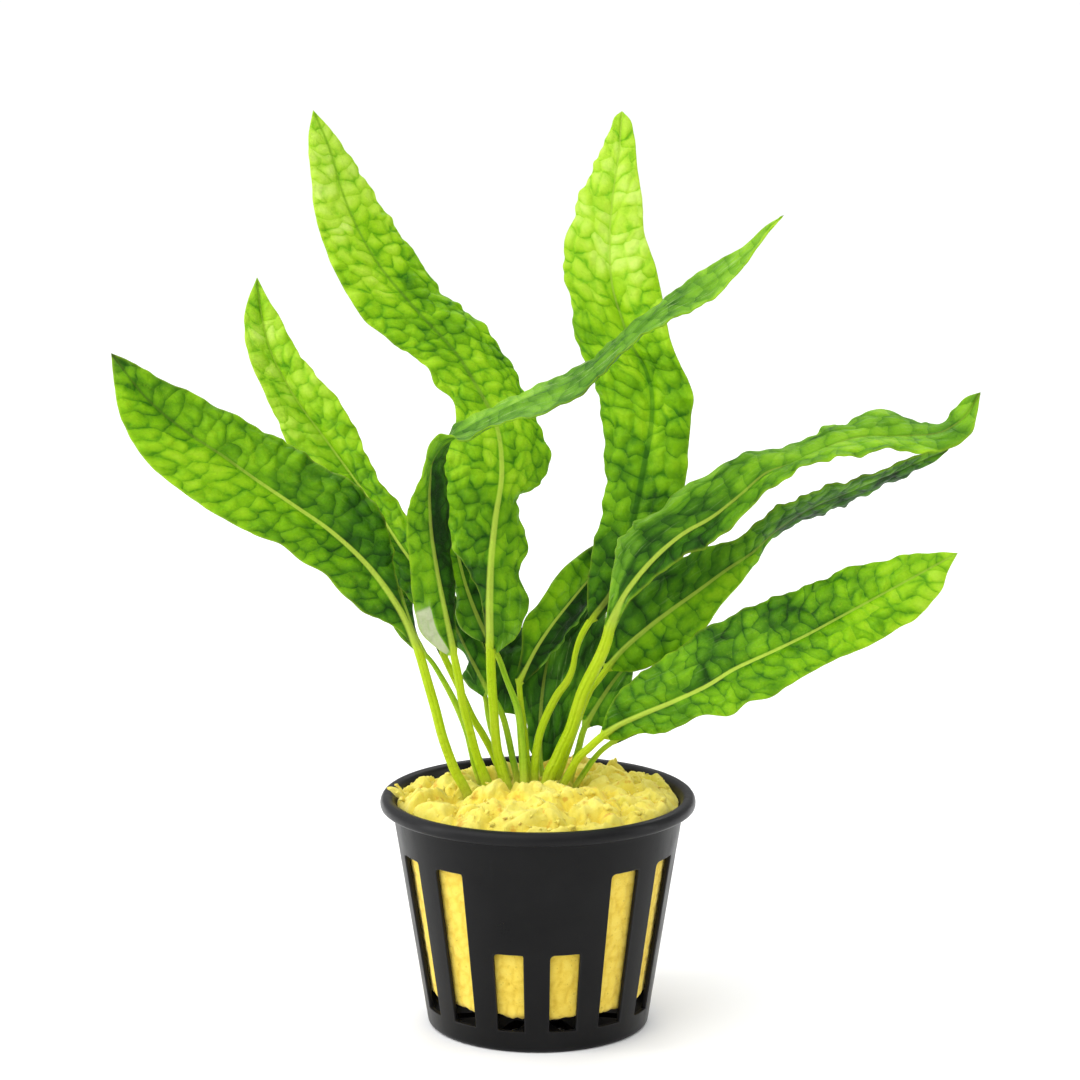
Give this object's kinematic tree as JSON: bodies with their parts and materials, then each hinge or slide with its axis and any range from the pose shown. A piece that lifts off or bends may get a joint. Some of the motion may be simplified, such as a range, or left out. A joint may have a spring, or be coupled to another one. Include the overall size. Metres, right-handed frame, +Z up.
{
  "type": "potted cryptocoryne",
  "caption": "Small aquarium plant with long puckered leaves on bare stalks, rooted in a crumbly wool plug in a black slotted net pot; stands on its flat base",
  "frame": {"origin": "centre of the pot's underside, on the surface it stands on", "axes": "+Z up along the pot's axis; -Y is the front, where the pot's two short slots and plain panel are; +X is to the right seen from the front"},
  "size_m": [0.1446, 0.0591, 0.1579],
  "materials": {
    "pot_plastic": "satin black moulded plastic",
    "medium": "pale yellow crumbly planting wool",
    "leaf_bright": "lime green puckered leaf, satin",
    "leaf_shade": "dark green puckered leaf, satin"
  },
  "bodies": {
    "root": {"pot": "pot_plastic", "growing_medium": "medium", "leaf_far_left": "leaf_bright", "leaf_mid_left": "leaf_bright", "leaf_tall_left": "leaf_bright", "leaf_crossing": "leaf_bright", "leaf_tall_right": "leaf_bright", "leaf_short_centre": "leaf_bright", "leaf_wrapped_right": "leaf_bright", "leaf_folded_right": "leaf_bright", "leaf_low_right": "leaf_bright", "leaf_shaded_left": "leaf_shade", "leaf_behind_left": "leaf_shade", "leaf_inner_left": "leaf_shade", "leaf_inner_back": "leaf_shade", "leaf_inner_centre": "leaf_shade", "leaf_inner_right": "leaf_shade", "leaf_under_right": "leaf_shade"}
  },
  "joints": []
}
